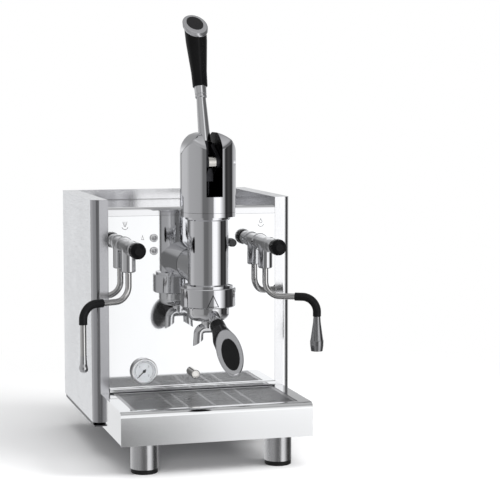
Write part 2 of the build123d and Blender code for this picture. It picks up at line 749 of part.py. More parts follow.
with BuildPart() as lever_ferrule:
    bore = tang_radius + pivot_running
    turn(lever_frame, [(bore, ferrule_start), (ferrule_radius - 0.8, ferrule_start),
                       (ferrule_radius, ferrule_start + 0.8), (ferrule_radius, ferrule_start + 4.0),
                       (ferrule_radius - 0.7, ferrule_start + 4.6),
                       (ferrule_radius - 0.7, ferrule_start + 5.4),
                       (ferrule_radius, ferrule_start + 6.0), (ferrule_radius + 0.5, grip_start),
                       (bore, grip_start)])
keep(lever_ferrule, "lever_ferrule")


def handle(frame, start, grip_length, cut, prefix):
    """A tapered grip with an oblique chrome cap and a bare oval badge set in the cap."""
    tilt = radians(cut)
    seam = along(frame, start + grip_length)
    face = along(frame, start + grip_length + cap_height)
    normal = frame.z_dir * cos(tilt) - frame.y_dir * sin(tilt)
    seam_plane = Plane(origin=seam, x_dir=frame.x_dir, z_dir=normal)
    face_plane = Plane(origin=face, x_dir=frame.x_dir, z_dir=normal)
    overshoot = start + grip_length + cap_height + 2 * cap_radius * tan(tilt)
    with BuildPart() as grip:
        shoulder = start + grip_length - grip_end_radius * tan(tilt)
        turn(frame, [(0, start), (grip_foot_radius - 1.0, start), (grip_foot_radius, start + 1.0),
                     (grip_foot_radius + 0.7, start + 0.25 * grip_length),
                     (grip_end_radius - 0.6, shoulder),
                     (grip_end_radius, start + grip_length), (grip_end_radius, overshoot),
                     (0, overshoot)])
        split(bisect_by=seam_plane, keep=Keep.BOTTOM)
        turn(frame, [(0, start), (tang_radius + 0.1, start),
                     (tang_radius + 0.1, start + tang_length + gap),
                     (0, start + tang_length + gap)], Mode.SUBTRACT)
    keep(grip, prefix + "_grip")
    with BuildPart() as cap:
        turn(frame, [(0, start), (cap_radius, start), (cap_radius, overshoot), (0, overshoot)])
        split(bisect_by=seam_plane, keep=Keep.TOP)
        split(bisect_by=face_plane, keep=Keep.BOTTOM)
        fillet(cap.edges(), radius=cap_edge)
        with BuildSketch(face_plane):
            Ellipse(badge_radius, badge_radius / cos(tilt))
        extrude(amount=-badge_recess, mode=Mode.SUBTRACT)
    keep(cap, prefix + "_cap")
    with BuildPart() as badge:
        with BuildSketch(face_plane.offset(-badge_recess)):
            Ellipse(badge_radius - gap, (badge_radius - gap) / cos(tilt))
        extrude(amount=badge_thickness)
    keep(badge, prefix + "_badge")


handle(lever_frame, grip_start, lever_grip, lever_cut, "lever")

# === Portafilter ================================================================================

with BuildPart() as portafilter_body:
    upper = bayonet_lip_radius - gap
    shelf = bell_bottom - gap
    with BuildSketch(Plane.XY.offset(filter_bottom)):
        with Locations((0, group_y)):
            Circle(filter_radius)
    extrude(amount=shelf - filter_bottom)
    fillet(portafilter_body.edges().group_by(Axis.Z)[0], radius=filter_bottom_fillet)
    with BuildSketch(Plane.XY.offset(shelf)):
        with Locations((0, group_y)):
            Circle(upper)
    extrude(amount=filter_rim_z - shelf)
    ear_z = bell_bottom + bayonet_lip + gap
    with BuildSketch(Plane.XY.offset(ear_z)):
        with Locations((0, group_y)):
            Circle(ear_radius)
            ear_half = ear_radius * sin(radians(ear_angle / 2))
            Rectangle(2 * ear_radius, 2 * ear_half, mode=Mode.INTERSECT)
    extrude(amount=ear_height)
    bar(handle_boss_radius, along(filter_frame, filter_radius - 8.0),
        along(filter_frame, filter_grip_start))
    bar(tang_radius, along(filter_frame, filter_grip_start - 1.0),
        along(filter_frame, filter_grip_start + tang_length))
    turn(group_frame, [(0, filter_rim_z + 1), (filter_bore, filter_rim_z + 1),
                       (filter_bore, filter_bottom + filter_floor + 3.0),
                       (filter_bore - 8, filter_bottom + filter_floor),
                       (0, filter_bottom + filter_floor)], Mode.SUBTRACT)
    bar(spout_bore, (0, group_y, filter_bottom - 1), (0, group_y, filter_bottom + filter_floor + 1),
        Mode.SUBTRACT)
keep(portafilter_body, "portafilter_body")

with BuildPart() as filter_basket:
    outer = filter_bore - gap
    rim = filter_rim_z + basket_wall
    low = rim - basket_depth
    turn(group_frame, [(0, low), (outer - 2.5, low), (outer, low + 2.5), (outer, filter_rim_z),
                       (bayonet_lip_radius - 2 * gap, filter_rim_z), (bayonet_lip_radius - 2 * gap, rim),
                       (outer - basket_wall, rim), (outer - basket_wall, low + 2.8),
                       (outer - 2.8, low + basket_wall), (0, low + basket_wall)])
keep(filter_basket, "filter_basket")

with BuildPart() as portafilter_spout:
    spout_plane = Plane(origin=(0, group_y, 0), x_dir=(1, 0, 0), z_dir=(0, -1, 0))
    below = spout_tip_z - spout_radius
    with BuildLine(spout_plane):
        horn = FilletPolyline((-spout_half, below), (-spout_shoulder, spout_z), (spout_shoulder, spout_z),
                              (spout_half, below), radius=spout_bend)
    tube_along(horn, spout_radius)
    bar(spout_stem_radius, (0, group_y, spout_z), (0, group_y, filter_bottom))
    bar(spout_stem_radius + 2.0, (0, group_y, filter_bottom - 7.0), (0, group_y, filter_bottom - 2.5))
    tube_along(horn, spout_bore, Mode.SUBTRACT)
    bar(spout_bore, (0, group_y, spout_z), (0, group_y, filter_bottom), Mode.SUBTRACT)
    with BuildSketch(spout_plane.offset(-2 * spout_radius)):
        for side in (-1, 1):
            outer = side * (spout_half + spout_radius + 1.0)
            inner = side * (spout_half - spout_radius - 1.0)
            Polygon((outer, spout_tip_z), (inner, spout_tip_z + spout_tip_rise), (inner, below - 5.0),
                    (outer, below - 5.0), align=None)
    extrude(amount=4 * spout_radius, mode=Mode.SUBTRACT)
keep(portafilter_spout, "portafilter_spout")

handle(filter_frame, filter_grip_start, filter_grip, filter_cut, "portafilter")

# === Valves and wands ===========================================================================


def valve(side, name):
    """A panel valve body with its spout block, and the knob that turns on its spindle."""
    frame = forward_frame(side * valve_x, valve_z)
    block_y = panel_y - spout_block_reach
    with BuildPart() as body:
        turn(frame, [
            (0, -valve_shank), (valve_shank_radius, -valve_shank), (valve_shank_radius, -gap),
            (valve_shank_radius, 0), (rosette_radius - 1.0, 0), (rosette_radius, 1.0),
            (rosette_radius - 1.0, rosette), (valve_radius, rosette), (valve_radius, 47.0),
            (valve_collar_radius, 48.0), (valve_collar_radius, 56.0), (valve_radius - 2.0, 57.0),
            (valve_radius - 2.0, 66.0), (valve_radius + 0.6, 67.0),
            (valve_radius + 0.6, knob_start - 4.0),
            (spindle_radius, knob_start - gap), (spindle_radius, knob_end - 10.0), (0, knob_end - 10.0),
        ])
        block_frame = Plane(origin=(side * valve_x, block_y, 0), x_dir=(1, 0, 0), z_dir=(0, 0, 1))
        low = spout_block_bottom
        turn(block_frame, [(0, low), (spout_block_radius - 1.5, low), (spout_block_radius, low + 1.5),
                           (spout_block_radius, valve_z - 2.0), (spout_block_radius - 2.0, valve_z),
                           (0, valve_z)])
        bar(wand_radius + wand_running, (side * valve_x, block_y, low),
            (side * valve_x, block_y, low + wand_socket + gap), Mode.SUBTRACT)
    keep(body, name + "_valve_body")
    with BuildPart() as knob:
        bore = spindle_radius + spindle_running
        turn(frame, [
            (bore, knob_start), (7.5, knob_start), (10.5, knob_start + 2.5), (12.2, knob_start + 7.0),
            (knob_radius, knob_start + 12.0), (knob_radius, knob_end - 7.0),
            (knob_radius - 1.0, knob_end - 3.5),
            (knob_radius - 3.2, knob_end - 1.2), (knob_radius - 7.0, knob_end), (0, knob_end),
            (0, knob_end - 9.0), (bore, knob_end - 9.0),
        ])
        with BuildSketch(Plane(origin=along(frame, knob_end), x_dir=(1, 0, 0), z_dir=(0, -1, 0))):
            with PolarLocations(knob_radius + 1.4, 6, start_angle=30):
                Circle(2.2)
        extrude(amount=knob_start - knob_end, mode=Mode.SUBTRACT)
    keep(knob, name + "_valve_knob")


def wand(side, name, swing, tube_end, tip_outline):
    """A bent wand, its rubber sleeve and its tip, in a vertical plane swung forward by some degrees."""
    angle = radians(swing)
    outward = (side * cos(angle), -sin(angle), 0)
    foot = Vector(side * valve_x, panel_y - spout_block_reach, 0)
    plane = Plane(origin=foot, x_dir=outward, z_dir=Vector(*outward).cross(Vector(0, 0, 1)))
    top = spout_block_bottom + wand_socket
    with BuildPart() as tube:
        with BuildLine(plane):
            route = FilletPolyline((0, top), (0, wand_z), (wand_reach, wand_z), (wand_reach, tube_end),
                                   radius=wand_bend)
        tube_along(route, wand_radius)
    keep(tube, name + "_wand")
    with BuildPart() as sleeve:
        with BuildLine(plane):
            cover = FilletPolyline((sleeve_start, wand_z), (wand_reach, wand_z),
                                   (wand_reach, wand_z - wand_bend - 7.0), radius=wand_bend)
        tube_along(cover, sleeve_radius)
        tube_along(cover, wand_radius + gap, Mode.SUBTRACT)
    keep(sleeve, name + "_wand_sleeve")
    centre = foot + Vector(*outward) * wand_reach
    with BuildPart() as tip:
        turn(Plane(origin=centre, x_dir=(1, 0, 0), z_dir=(0, 0, 1)), tip_outline)
    keep(tip, name + "_wand_tip")


valve(-1, "steam")
valve(1, "water")
fit = wand_radius + wand_running
low = steam_tip_bottom
wide = steam_tip_radius
wand(-1, "steam", steam_swing, steam_wand_end, [
    (0, low), (wide - 3.4, low + 0.4), (wide - 1.2, low + 2.2), (wide, low + 6.0),
    (wide - 0.4, low + 9.5),
    (wide - 1.4, low + 14.0), (fit + 0.2, low + 22.0), (fit + 0.2, low + 27.0), (fit, low + 27.0),
    (fit, steam_wand_end - gap), (0, steam_wand_end - gap),
])
low = water_tip_bottom
wide = water_tip_radius
wand(1, "water", water_swing, water_wand_end, [
    (0, low + 3.0), (wide - 3.0, low + 3.0), (wide - 2.6, low), (wide - 1.6, low),
    (wide - 0.3, low + 9.0),
    (wide, low + 17.0), (wide - 0.5, low + 17.6), (wide - 1.5, low + 24.0), (wide - 3.2, low + 36.0),
    (wide - 4.6, low + 46.0), (fit + 0.6, low + 56.0), (fit + 0.4, wand_z - wand_bend - 7.3),
    (fit, wand_z - wand_bend - 7.3), (fit, water_wand_end - gap), (0, water_wand_end - gap),
])

# === Front panel fittings =======================================================================

gauge_frame = forward_frame(gauge_x, gauge_z)
glass_radius = gauge_radius - gauge_rim
needle_shaft = 0.8

with BuildPart() as gauge_case:
    turn(gauge_frame, [
        (0, -gauge_back), (gauge_barrel, -gauge_back), (gauge_barrel, 0), (gauge_radius, 0),
        (gauge_radius, gauge_front - 2.0), (gauge_radius - 1.2, gauge_front), (glass_radius, gauge_front),
        (glass_radius, 2.0), (needle_shaft + 0.1, 2.0), (needle_shaft + 0.1, -4.0), (0, -4.0),
    ])
    bar(pipe_radius + 1.5, along(gauge_frame, -gauge_back), along(gauge_frame, -gauge_back - 3.0))
keep(gauge_case, "gauge_case")

with BuildPart() as gauge_face:
    turn(gauge_frame, [(needle_shaft + 0.1, 2.0 + gap), (glass_radius - gap, 2.0 + gap),
                       (glass_radius - gap, 3.1), (needle_shaft + 0.1, 3.1)])
keep(gauge_face, "gauge_face")

with BuildPart() as gauge_needle:
    turn(gauge_frame, [(0, -4.0 + gap), (needle_shaft, -4.0 + gap), (needle_shaft, 3.5), (2.4, 3.5),
                       (2.4, 5.2), (0, 5.2)])
    zero_angle = radians(needle_zero)
    with BuildSketch(Plane(origin=along(gauge_frame, 3.8), x_dir=(cos(zero_angle), 0, sin(zero_angle)),
                           z_dir=gauge_frame.z_dir)):
        with BuildLine():
            Polyline((-4.0, -1.0), (14.0, -0.35), (14.0, 0.35), (-4.0, 1.0), close=True)
        make_face()
    extrude(amount=0.7)
keep(gauge_needle, "gauge_needle")

with BuildPart() as gauge_glass:
    turn(gauge_frame, [(0, 6.2), (glass_radius - 0.2, 6.2), (glass_radius - 0.2, gauge_front - 1.0),
                       (0, gauge_front - 1.0)])
keep(gauge_glass, "gauge_glass")

for name, step in (("lamp_power", 1), ("lamp_heating", -1)):
    with BuildPart() as lamp:
        turn(forward_frame(-lamp_x, valve_z + step * lamp_spread / 2), [
            (0, -18.0), (lamp_shank, -18.0), (lamp_shank, 0), (lamp_radius, 0), (lamp_radius, 1.4),
            (lamp_radius - 1.2, lamp_front - 1.2), (lamp_radius - 2.0, lamp_front - 1.2),
            (3.4, lamp_front - 0.3),
            (1.8, lamp_front + 0.3), (0, lamp_front + 0.5),
        ])
    keep(lamp, name)

with BuildPart() as power_switch:
    turn(forward_frame(lamp_x, valve_z), [
        (0, -16.0), (switch_shank, -16.0), (switch_shank, gap), (switch_radius, gap),
        (switch_radius, 3.0),
        (switch_radius - 0.8, switch_front - 1.0), (switch_radius - 1.8, switch_front), (0, switch_front),
    ])
keep(power_switch, "power_switch")

with BuildPart() as drain_outlet:
    turn(forward_frame(0, drain_z), [
        (0, -12.0), (drain_shank, -12.0), (drain_shank, 0), (drain_radius, 0),
        (drain_radius, drain_front - 1.2),
        (drain_radius - 1.2, drain_front), (drain_radius - 2.6, drain_front),
        (drain_radius - 3.0, drain_front - 0.8), (0, drain_front - 0.8),
    ])
keep(drain_outlet, "drain_outlet")

# === Inside =====================================================================================

boiler_frame = Plane(origin=(0, boiler_y, boiler_z), x_dir=(0, 1, 0), z_dir=(1, 0, 0))
boiler_front = boiler_y - boiler_radius
boiler_over = boiler_z + boiler_radius + port_height
boiler_under = boiler_z - boiler_radius - port_height
ports = {
    "steam": (-45.0, boiler_y, boiler_over),
    "water": (72.0, boiler_front, boiler_z - 18.0),
    "feed": (80.0, boiler_y, boiler_under),
    "gauge": (gauge_x, boiler_y - 32.0, boiler_z - boiler_radius + 3.0),
    "group": (0, boiler_front, boiler_z + 22.0),
}

with BuildPart() as boiler:
    end = boiler_half
    skin = boiler_wall
    turn(boiler_frame, [(0, -end), (boiler_radius - 20.0, -end), (boiler_radius - 6.0, 5.0 - end),
                        (boiler_radius, 16.0 - end), (boiler_radius, end - 4.0),
                        (boiler_flange_radius, end - 4.0),
                        (boiler_flange_radius, end + boiler_flange), (26.0, end + boiler_flange),
                        (26.0, end + boiler_flange + 6.0), (0, end + boiler_flange + 6.0)])
    with BuildSketch(Plane.YZ.offset(end + boiler_flange)):
        with Locations((boiler_y, boiler_z)):
            with PolarLocations(boiler_flange_radius - 8.0, 8):
                RegularPolygon(4.6, 6)
    extrude(amount=3.4)
    bar(9.0, (0, boiler_y, boiler_z), (0, boiler_y, boiler_over + 9.0))
    bar(5.0, (0, boiler_y, boiler_over + 8.0), (0, boiler_y, boiler_over + 27.0))
    for x, y, z in ports.values():
        root = (x, boiler_y, z) if y == boiler_front else (x, y, boiler_z)
        bar(port_radius, root, (x, y, z))
    turn(boiler_frame, [(0, skin - end), (boiler_radius - 20.0 - skin, skin - end),
                        (boiler_radius - 6.0 - skin, 5.0 + skin - end),
                        (boiler_radius - skin, 16.0 - end),
                        (boiler_radius - skin, end), (0, end)], Mode.SUBTRACT)
    for x, y, z in ports.values():
        root = (x, boiler_y, z) if y == boiler_front else (x, y, boiler_z)
        bar(port_bore, root, (x, y, z), Mode.SUBTRACT)
keep(boiler, "boiler")

with BuildPart() as water_tank:
    low = base_bottom + base_plate + gap
    block((-tank_half, tank_half), (tank_front_y, tank_back_y), (low, tank_top))
    fillet(water_tank.edges().filter_by(Axis.Z), radius=10.0)
    with BuildSketch(Plane.XY.offset(low + tank_wall)):
        with Locations((0, (tank_front_y + tank_back_y) / 2)):
            RectangleRounded(2 * (tank_half - tank_wall), tank_back_y - tank_front_y - 2 * tank_wall, 7.5)
    extrude(amount=tank_top - low, mode=Mode.SUBTRACT)
keep(water_tank, "water_tank")

with BuildPart() as pump:
    low = base_bottom + base_plate
    block((pump_x - 24, pump_x + 24), (pump_y - 30, pump_y + 30), (low, low + 4.0))
    block((pump_x - 20, pump_x + 20), (pump_y - 24, pump_y + 24), (low + 4.0, low + 52.0))
    bar(14.0, (pump_x, pump_y - 38, low + 28.0), (pump_x, pump_y + 30, low + 28.0))
keep(pump, "pump")

with BuildPart() as pressurestat:
    stat_low = boiler_z + boiler_radius + gap
    stat_x = 46.0
    block((stat_x - 20, stat_x + 20), (boiler_y - 18, boiler_y + 18), (stat_low + 8.0, stat_low + 44.0))
    bar(7.0, (stat_x, boiler_y, stat_low), (stat_x, boiler_y, stat_low + 9.0))
keep(pressurestat, "pressurestat")


valve_back = panel_y + valve_shank + gap
feed_z = base_bottom + base_plate + 28.0
pump_front = pump_y - 38.0 - gap
gauge_end = panel_y + gauge_back + 3.0 + gap
neck_end = panel_y + 3 * sheet + neck_flange + gap
riser_y = boiler_front - 16.0
steam_x, _, steam_z = ports["steam"]
water_port_x, _, water_port_z = ports["water"]
feed_x, _, feed_end = ports["feed"]
gauge_port_x, gauge_port_y, gauge_port_z = ports["gauge"]
group_port_z = ports["group"][2]
routes = [
    [(-valve_x, valve_back, valve_z), (-valve_x, boiler_y, valve_z), (steam_x, boiler_y, valve_z),
     (steam_x, boiler_y, steam_z + gap)],
    [(valve_x, valve_back, valve_z), (valve_x, riser_y, valve_z), (valve_x, riser_y, water_port_z),
     (water_port_x, riser_y, water_port_z), (water_port_x, boiler_front - gap, water_port_z)],
    [(pump_x, pump_front, feed_z), (pump_x, boiler_y, feed_z), (feed_x, boiler_y, feed_z),
     (feed_x, boiler_y, feed_end - gap)],
    [(gauge_x, gauge_end, gauge_z), (gauge_x, gauge_port_y, gauge_z),
     (gauge_port_x, gauge_port_y, gauge_port_z - gap)],
    [(0, neck_end, neck_z), (0, riser_y, neck_z), (0, riser_y, group_port_z),
     (0, boiler_front - gap, group_port_z)],
]

with BuildPart() as pipework:
    for route in routes:
        with BuildLine():
            pipe = FilletPolyline(*route, radius=pipe_bend)
        tube_along(pipe, pipe_radius)
    bar(pipe_radius, (tank_half + gap, pump_y, feed_z), (pump_x - 20 - gap, pump_y, feed_z))
keep(pipework, "pipework")

with BuildPart() as power_inlet:
    block((inlet_x - 14, inlet_x + 14), (back_y - 20, back_y), (inlet_z - 10, inlet_z + 10))
    block((inlet_x - 18, inlet_x + 18), (back_y, back_y + 2.0), (inlet_z - 14, inlet_z + 14))
    block((inlet_x - 11, inlet_x + 11), (back_y - 16, back_y + 3.0), (inlet_z - 7, inlet_z + 7),
          Mode.SUBTRACT)
    for x, z in ((-6.0, -2.0), (0.0, 2.5), (6.0, -2.0)):
        block((inlet_x + x - 1.0, inlet_x + x + 1.0), (back_y - 17, back_y - 3),
              (inlet_z + z - 2, inlet_z + z + 2))
keep(power_inlet, "power_inlet")
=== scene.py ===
"""Espresso machine: looks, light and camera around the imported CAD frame. Metres throughout."""
import bpy
import bmesh
import json
from math import cos, pi, radians, sin
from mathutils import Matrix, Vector


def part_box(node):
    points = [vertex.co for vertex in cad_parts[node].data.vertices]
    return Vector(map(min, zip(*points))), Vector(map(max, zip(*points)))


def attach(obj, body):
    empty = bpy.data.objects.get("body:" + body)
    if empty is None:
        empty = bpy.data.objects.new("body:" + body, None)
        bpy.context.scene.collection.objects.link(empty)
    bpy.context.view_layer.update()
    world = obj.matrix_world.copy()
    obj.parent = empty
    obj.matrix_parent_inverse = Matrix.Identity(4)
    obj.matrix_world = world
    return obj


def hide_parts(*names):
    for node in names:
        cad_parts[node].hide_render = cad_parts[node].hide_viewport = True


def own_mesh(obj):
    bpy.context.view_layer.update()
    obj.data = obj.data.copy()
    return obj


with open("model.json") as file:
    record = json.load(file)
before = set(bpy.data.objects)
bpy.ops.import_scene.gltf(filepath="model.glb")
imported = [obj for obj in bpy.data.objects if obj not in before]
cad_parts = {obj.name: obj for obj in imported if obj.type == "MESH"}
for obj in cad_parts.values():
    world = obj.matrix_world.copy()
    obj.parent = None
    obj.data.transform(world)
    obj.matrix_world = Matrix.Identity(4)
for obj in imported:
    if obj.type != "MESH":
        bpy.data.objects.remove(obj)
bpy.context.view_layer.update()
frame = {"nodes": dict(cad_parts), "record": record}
nodes = frame["nodes"]
slot_of = {part["node"]: part["material_slot"] for part in frame["record"]["subparts"]}
scene = bpy.context.scene
MM = 0.001


# === Node helpers ==================================================================================

class Graph:
    """A small writer for node trees. It starts from an empty tree, or adds to one that is kept."""

    def __init__(self, tree, keep=False):
        self.tree = tree
        if not keep:
            tree.nodes.clear()

    def node(self, kind, **settings):
        made = self.tree.nodes.new("ShaderNode" + kind)
        for key, value in settings.items():
            setattr(made, key, value)
        return made

    def feed(self, socket, value):
        """Links a socket to another one, or sets it to a plain value."""
        if isinstance(value, bpy.types.NodeSocket):
            self.tree.links.new(value, socket)
        elif value is not None:
            socket.default_value = value

    def math(self, operation, a, b=None):
        made = self.node("Math", operation=operation)
        for socket, value in zip(made.inputs, (a, b)):
            self.feed(socket, value)
        return made.outputs[0]

    def span(self, value, low, high, to_low=0.0, to_high=1.0, smooth=False):
        """Maps low..high onto to_low..to_high, held at the ends."""
        made = self.node("MapRange", interpolation_type="SMOOTHSTEP" if smooth else "LINEAR")
        for socket, number in zip(made.inputs, (value, low, high, to_low, to_high)):
            self.feed(socket, number)
        return made.outputs[0]

    def ramp(self, value, stops):
        """A grey ramp along the value; each stop is (place, tone), in order."""
        made = self.node("ValToRGB")
        elements = made.color_ramp.elements
        while len(elements) < len(stops):
            elements.new(0.5)
        for element, (place, _) in zip(elements, stops):
            element.position = place
        for element, (_, tone) in zip(elements, stops):
            element.color = (tone, tone, tone, 1.0)
        self.feed(made.inputs[0], value)
        return made.outputs[0]

    def mix(self, factor, a, b, blend="MIX"):
        made = self.node("Mix", data_type="RGBA", blend_type=blend)
        self.feed(made.inputs[0], factor)
        for socket, value in ((made.inputs[6], a), (made.inputs[7], b)):
            self.feed(socket, (*value, 1.0) if isinstance(value, tuple) else value)
        return made.outputs[2]

    def where(self):
        """The point's place, in the frame."""
        return self.node("TexCoord").outputs["Object"]

    def axes(self, vector):
        """The three numbers of a vector."""
        made = self.node("SeparateXYZ")
        self.feed(made.inputs[0], vector)
        return made.outputs

    def noise(self, scale, detail=4.0, rough=0.55, stretch=(1, 1, 1)):
        mapping = self.node("Mapping")
        self.feed(mapping.inputs["Vector"], self.where())
        mapping.inputs["Scale"].default_value = stretch
        made = self.node("TexNoise")
        self.feed(made.inputs["Vector"], mapping.outputs[0])
        made.inputs["Scale"].default_value = scale
        made.inputs["Detail"].default_value = detail
        made.inputs["Roughness"].default_value = rough
        return made.outputs["Fac"]

    def bump(self, height, strength, distance, normal=None):
        made = self.node("Bump")
        made.inputs["Strength"].default_value = strength
        made.inputs["Distance"].default_value = distance
        self.feed(made.inputs["Height"], height)
        self.feed(made.inputs["Normal"], normal)
        return made.outputs[0]


NOISE_LOW, NOISE_HIGH = 0.3, 0.7        # a noise node stays mostly between these


def new_material(name):
    made = bpy.data.materials.new(name)
    made.use_nodes = True
    graph = Graph(made.node_tree)
    shader = graph.node("BsdfPrincipled")
    graph.feed(graph.node("OutputMaterial").inputs["Surface"], shader.outputs[0])
    return made, graph, shader


# === Finishes =======================================================================================

SCRATCH_SCALE, SCRATCH_DEPTH = 900.0, 0.004 * MM
materials = {}                          # by the record's material slot


def metal(name, tone, rough, spread=0.03, grain=(1, 1, 1), smudge=0.02, waves=0.0):
    """Polished or brushed metal: smudged gloss, fine scratches along one way, slow waves in thin sheet."""
    made, graph, shader = new_material(name)
    dark = tuple(channel * (1.0 - spread) for channel in tone)
    graph.feed(shader.inputs["Base Color"], graph.mix(graph.noise(28.0, 5.0), tone, dark))
    shader.inputs["Metallic"].default_value = 1.0
    patches = graph.noise(7.0, 3.0)
    fine = graph.noise(SCRATCH_SCALE, 3.0, 0.6, grain)
    gloss = graph.math("ADD", graph.span(patches, 0.35, NOISE_HIGH, 0.0, smudge), rough)
    gloss = graph.math("ADD", gloss, graph.span(fine, NOISE_LOW, NOISE_HIGH, -0.25 * rough, 0.25 * rough))
    graph.feed(shader.inputs["Roughness"], gloss)
    normal = graph.bump(fine, 0.35, SCRATCH_DEPTH)
    if waves:
        normal = graph.bump(graph.noise(5.5, 1.0), 1.0, waves, normal)
    graph.feed(shader.inputs["Normal"], normal)
    materials[name] = made


def plastic(name, tone, rough, depth=0.00002, scale=700.0, coat=0.0, fleck=0.25, shine=0.5, through=0.0):
    """Moulded plastic or rubber: a fine skin, slow colour change and rubbed patches."""
    made, graph, shader = new_material(name)
    worn = tuple(min(1.0, channel * (1.0 + fleck) + 0.004) for channel in tone)
    graph.feed(shader.inputs["Base Color"], graph.mix(graph.noise(45.0), tone, worn))
    rubbed = graph.span(graph.noise(60.0, 5.0), NOISE_LOW, NOISE_HIGH, rough * 0.8, rough * 1.25)
    graph.feed(shader.inputs["Roughness"], rubbed)
    graph.feed(shader.inputs["Normal"], graph.bump(graph.noise(scale, 4.0, 0.6), 0.3, depth))
    shader.inputs["Specular IOR Level"].default_value = shine
    shader.inputs["Coat Weight"].default_value = coat
    shader.inputs["Coat Roughness"].default_value = 0.05
    shader.inputs["Transmission Weight"].default_value = through
    materials[name] = made


def clear_glass(name):
    made, graph, shader = new_material(name)
    shader.inputs["Base Color"].default_value = (0.97, 0.98, 0.99, 1.0)
    shader.inputs["Transmission Weight"].default_value = 1.0
    shader.inputs["IOR"].default_value = 1.3
    haze = graph.span(graph.noise(90.0), NOISE_LOW, NOISE_HIGH, 0.0, 0.03)
    graph.feed(shader.inputs["Roughness"], haze)
    materials[name] = made


def printed_ink(name):
    made, graph, shader = new_material(name)
    tone = graph.mix(graph.noise(500.0), (0.010, 0.010, 0.012), (0.025, 0.025, 0.027))
    graph.feed(shader.inputs["Base Color"], tone)
    graph.feed(shader.inputs["Roughness"], graph.span(graph.noise(900.0), NOISE_LOW, NOISE_HIGH, 0.4, 0.6))
    shader.inputs["Specular IOR Level"].default_value = 0.1
    graph.feed(shader.inputs["Normal"], graph.bump(graph.noise(2500.0), 0.2, 0.003 * MM))
    return made


metal("side_sheet", (0.86, 0.87, 0.89), 0.16, waves=0.00005, grain=(1, 0.06, 1), smudge=0.03)
metal("back_sheet", (0.90, 0.90, 0.91), 0.10, grain=(1, 1, 0.05), smudge=0.03)
metal("screw_steel", (0.62, 0.62, 0.63), 0.25)
metal("front_sheet", (0.93, 0.935, 0.94), 0.035, waves=0.00006, smudge=0.015)
metal("deck_sheet", (0.86, 0.86, 0.87), 0.06, waves=0.0001, smudge=0.02)
metal("base_sheet", (0.20, 0.20, 0.21), 0.35, smudge=0.06)
metal("tray_sheet", (0.90, 0.905, 0.91), 0.07, waves=0.00006, smudge=0.02)
metal("grate_steel", (0.52, 0.52, 0.53), 0.30, grain=(0.05, 1, 1), smudge=0.05)
metal("foot_chrome", (0.66, 0.66, 0.67), 0.22, grain=(1, 1, 0.04), smudge=0.04)
metal("group_chrome", (0.80, 0.80, 0.82), 0.055, waves=0.00003)
metal("inner_brass", (0.78, 0.62, 0.32), 0.22)
metal("housing_chrome", (0.83, 0.83, 0.85), 0.045, waves=0.00003)
metal("inner_steel", (0.05, 0.05, 0.055), 0.3)
metal("spring_steel", (0.25, 0.25, 0.26), 0.35)
metal("screen_steel", (0.66, 0.66, 0.67), 0.25)
metal("pin_steel", (0.78, 0.76, 0.72), 0.18)
metal("fork_steel", (0.045, 0.045, 0.05), 0.34, smudge=0.06)
metal("rod_chrome", (0.80, 0.80, 0.81), 0.09)
metal("ferrule_chrome", (0.80, 0.80, 0.81), 0.07)
metal("cap_satin", (0.74, 0.74, 0.76), 0.19, smudge=0.04)
metal("filter_chrome", (0.80, 0.80, 0.81), 0.06)
metal("basket_steel", (0.72, 0.72, 0.72), 0.2)
metal("spout_chrome", (0.80, 0.80, 0.81), 0.07)
metal("valve_chrome", (0.80, 0.80, 0.81), 0.08)
metal("wand_steel", (0.76, 0.75, 0.74), 0.15, grain=(1, 1, 0.1))
metal("tip_steel", (0.70, 0.70, 0.71), 0.16)
metal("spray_steel", (0.42, 0.42, 0.43), 0.20, smudge=0.05)
metal("gauge_chrome", (0.78, 0.78, 0.79), 0.07)
metal("lamp_chrome", (0.78, 0.78, 0.79), 0.07)
metal("drain_chrome", (0.82, 0.80, 0.77), 0.09)
metal("boiler_copper", (0.72, 0.43, 0.28), 0.28, smudge=0.12, spread=0.25)
metal("pipe_copper", (0.72, 0.43, 0.28), 0.25, smudge=0.1, spread=0.25)
plastic("pad_rubber", (0.006, 0.006, 0.006), 0.5, 0.00004, shine=0.2)
plastic("gasket_rubber", (0.02, 0.02, 0.02), 0.6, 0.00004)
plastic("grip_plastic", (0.0016, 0.0016, 0.0018), 0.20, 0.000006, shine=0.16)
plastic("badge_plastic", (0.002, 0.002, 0.0022), 0.16, 0.000006, shine=0.2)
plastic("knob_plastic", (0.0012, 0.0012, 0.0015), 0.10, 0.000006, shine=0.12)
plastic("sleeve_rubber", (0.003, 0.003, 0.0035), 0.40, 0.00005, scale=420.0, shine=0.2)
plastic("gauge_paint", (0.86, 0.87, 0.88), 0.45, fleck=0.0)
plastic("needle_paint", (0.02, 0.02, 0.02), 0.4)
plastic("switch_plastic", (0.012, 0.012, 0.013), 0.3)
plastic("pump_paint", (0.10, 0.10, 0.11), 0.4, 0.00006)
plastic("stat_plastic", (0.05, 0.05, 0.055), 0.5)
plastic("inlet_plastic", (0.015, 0.015, 0.016), 0.45)
plastic("tank_plastic", (0.75, 0.80, 0.84), 0.12, coat=0.4, fleck=0.05, through=0.7)
clear_glass("gauge_glass")
ink = printed_ink("mark_ink")

# The lever housing's axis, which the spring shares.
housing_low, housing_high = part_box("lever_housing")
axis_y = (housing_low[1] + housing_high[1]) / 2.0


